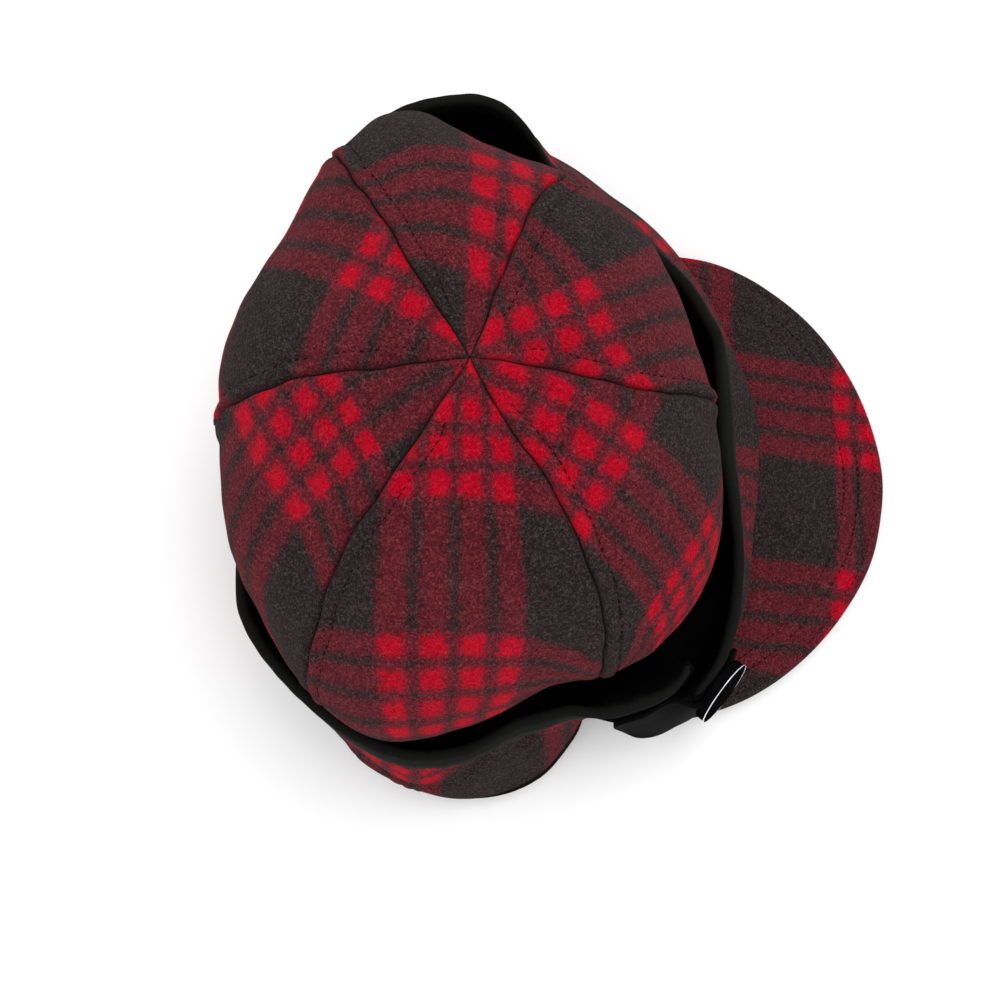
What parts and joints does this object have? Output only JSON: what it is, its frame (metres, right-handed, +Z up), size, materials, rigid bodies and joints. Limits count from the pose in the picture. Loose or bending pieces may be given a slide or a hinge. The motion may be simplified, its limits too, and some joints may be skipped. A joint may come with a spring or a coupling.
{
  "type": "wool earflap cap",
  "caption": "Plaid wool cap with a panelled crown, a turned-up black-lined ear band with bound edge, an arched peak and a side tab with a round snap.",
  "frame": {"origin": "on the supporting surface, under the middle of the cap's bounding box", "axes": "+Z up, the peak points along -Y, the wearer's left is +X"},
  "size_m": [0.274, 0.2564, 0.122],
  "materials": {
    "wool_plaid": "brushed wool in a red and charcoal plaid",
    "lining_black": "smooth black cloth",
    "binding_black": "matt woven tape",
    "tab_black": "matt black cloth",
    "snap_black": "gloss black",
    "snap_metal": "polished"
  },
  "bodies": {
    "root": {"crown_panel_front_right": "wool_plaid", "crown_panel_side_right": "wool_plaid", "crown_panel_back_right": "wool_plaid", "crown_panel_back_left": "wool_plaid", "crown_panel_side_left": "wool_plaid", "crown_panel_front_left": "wool_plaid", "peak": "wool_plaid", "ear_band": "wool_plaid", "ear_band_lining": "lining_black", "ear_band_binding": "binding_black", "front_band": "wool_plaid", "front_band_lining": "lining_black", "front_band_binding": "binding_black", "flap_hem": "binding_black", "side_tab": "tab_black", "snap_cap": "snap_black", "snap_rim": "snap_metal"}
  },
  "joints": []
}
